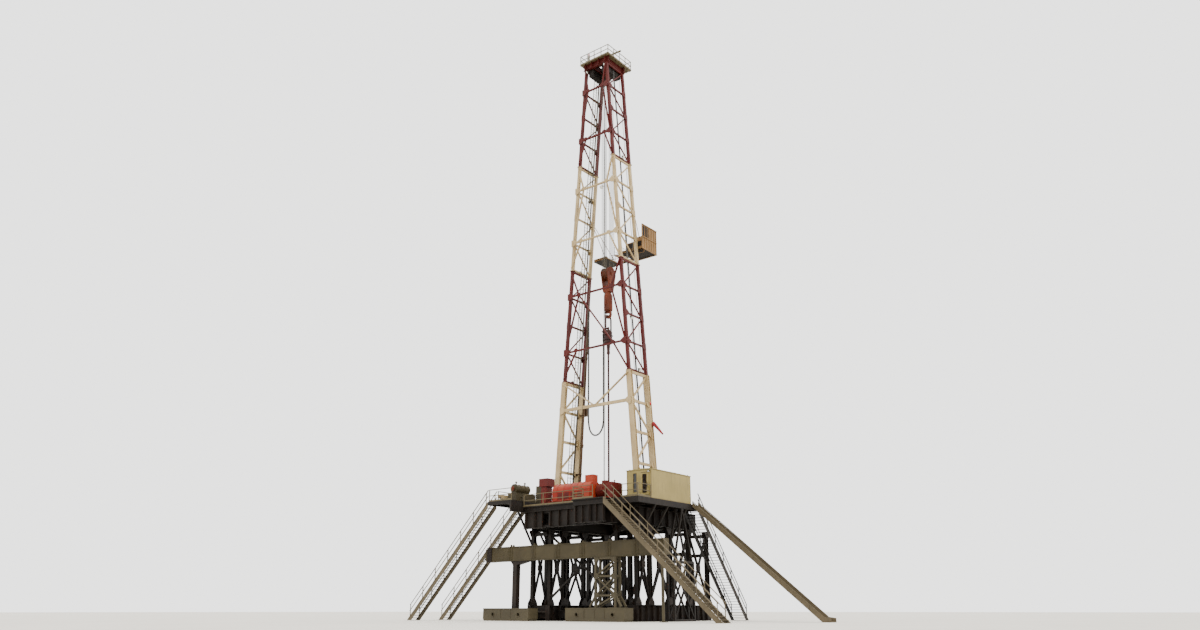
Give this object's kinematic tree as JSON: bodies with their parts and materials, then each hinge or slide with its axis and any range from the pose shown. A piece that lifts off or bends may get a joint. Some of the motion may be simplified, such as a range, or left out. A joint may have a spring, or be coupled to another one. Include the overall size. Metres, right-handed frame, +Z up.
{
  "type": "land oil drilling rig, 1:2 scale model",
  "caption": "Land drilling rig at half size: tall braced mast on a raised steel floor with drawworks, cabin, stairs, box girder and travelling block.",
  "frame": {"origin": "centre of the well at ground level", "axes": "+Z up, +X along the drawworks towards the doghouse, +Y towards the open pipe-handling side of the mast"},
  "size_m": [18.88, 9.152, 29.0568],
  "materials": {
    "dark_steel": "dull dark grey paint, dusty",
    "red_oxide": "weathered red oxide paint",
    "cream_paint": "weathered cream paint",
    "house_cream": "matt cream sheet steel",
    "olive_paint": "dusty olive grey paint",
    "skid_grey": "dusty grey-buff paint",
    "stair_grey": "galvanised steel with dust",
    "stair_dark": "dark brown paint with caked mud",
    "machine_red": "worn machine red paint",
    "block_orange": "faded orange-brown paint with grease",
    "wire_rope": "greased wire rope",
    "kelly_steel": "dark greased forged steel",
    "hose_rubber": "matt black rubber",
    "sock_fabric": "faded red cloth"
  },
  "bodies": {
    "rig": {"base_box_left": "dark_steel", "base_box_right": "dark_steel", "base_spreaders": "dark_steel", "cross_braces": "dark_steel", "column_frame_left": "dark_steel", "column_frame_right": "dark_steel", "floor_girders": "dark_steel", "floor_beams": "dark_steel", "drill_floor": "dark_steel", "left_platform": "dark_steel", "right_platform": "dark_steel", "platform_braces": "dark_steel", "rotary_table": "dark_steel", "box_girder": "olive_paint", "girder_tower": "skid_grey", "girder_skids": "skid_grey", "girder_posts": "skid_grey", "doghouse_stand": "dark_steel", "rear_stair": "stair_grey", "rear_stair_treads": "stair_grey", "left_stairs": "stair_grey", "left_stair_treads": "stair_grey", "right_stair": "stair_dark", "right_stair_treads": "stair_dark", "escape_slide": "stair_grey", "handrails": "stair_grey", "cable_tray": "cream_paint", "platform_units": "olive_paint", "doghouse_walls": "house_cream", "doghouse_roof": "house_cream", "doghouse_base": "house_cream", "drawworks_skid": "machine_red", "drawworks_housing": "machine_red", "drawworks_drum": "kelly_steel", "drawworks_units": "red_oxide", "mast_shoes": "red_oxide", "crown_frame": "red_oxide", "crown_platform": "cream_paint", "crown_sheaves": "kelly_steel", "racking_board": "cream_paint", "standpipe": "cream_paint", "windsock": "sock_fabric", "fixed_lines": "wire_rope", "drill_lines": "wire_rope", "rotary_hose": "hose_rubber", "mast_left_1": "cream_paint", "mast_right_1": "cream_paint", "mast_rear_1": "cream_paint", "mast_left_2": "red_oxide", "mast_right_2": "red_oxide", "mast_rear_2": "red_oxide", "mast_left_3": "cream_paint", "mast_right_3": "cream_paint", "mast_rear_3": "cream_paint", "mast_left_4": "red_oxide", "mast_right_4": "red_oxide", "mast_rear_4": "red_oxide"},
    "travelling_gear": {"travelling_block": "block_orange", "swivel_and_kelly": "kelly_steel"},
    "doghouse_door": {"doghouse_door": "house_cream"}
  },
  "joints": [
    {"name": "block_travel", "type": "slide", "parent": "rig", "child": "travelling_gear", "axis": [0, 0, 1], "range_m": [-3.85, 5.5], "deforming": ["drill_lines", "rotary_hose"]},
    {"name": "door_hinge", "type": "hinge", "parent": "rig", "child": "doghouse_door", "pos_m": [3.292, -2.1553, 5.4], "axis": [0, 0, -1], "range_deg": [0, 110]}
  ]
}
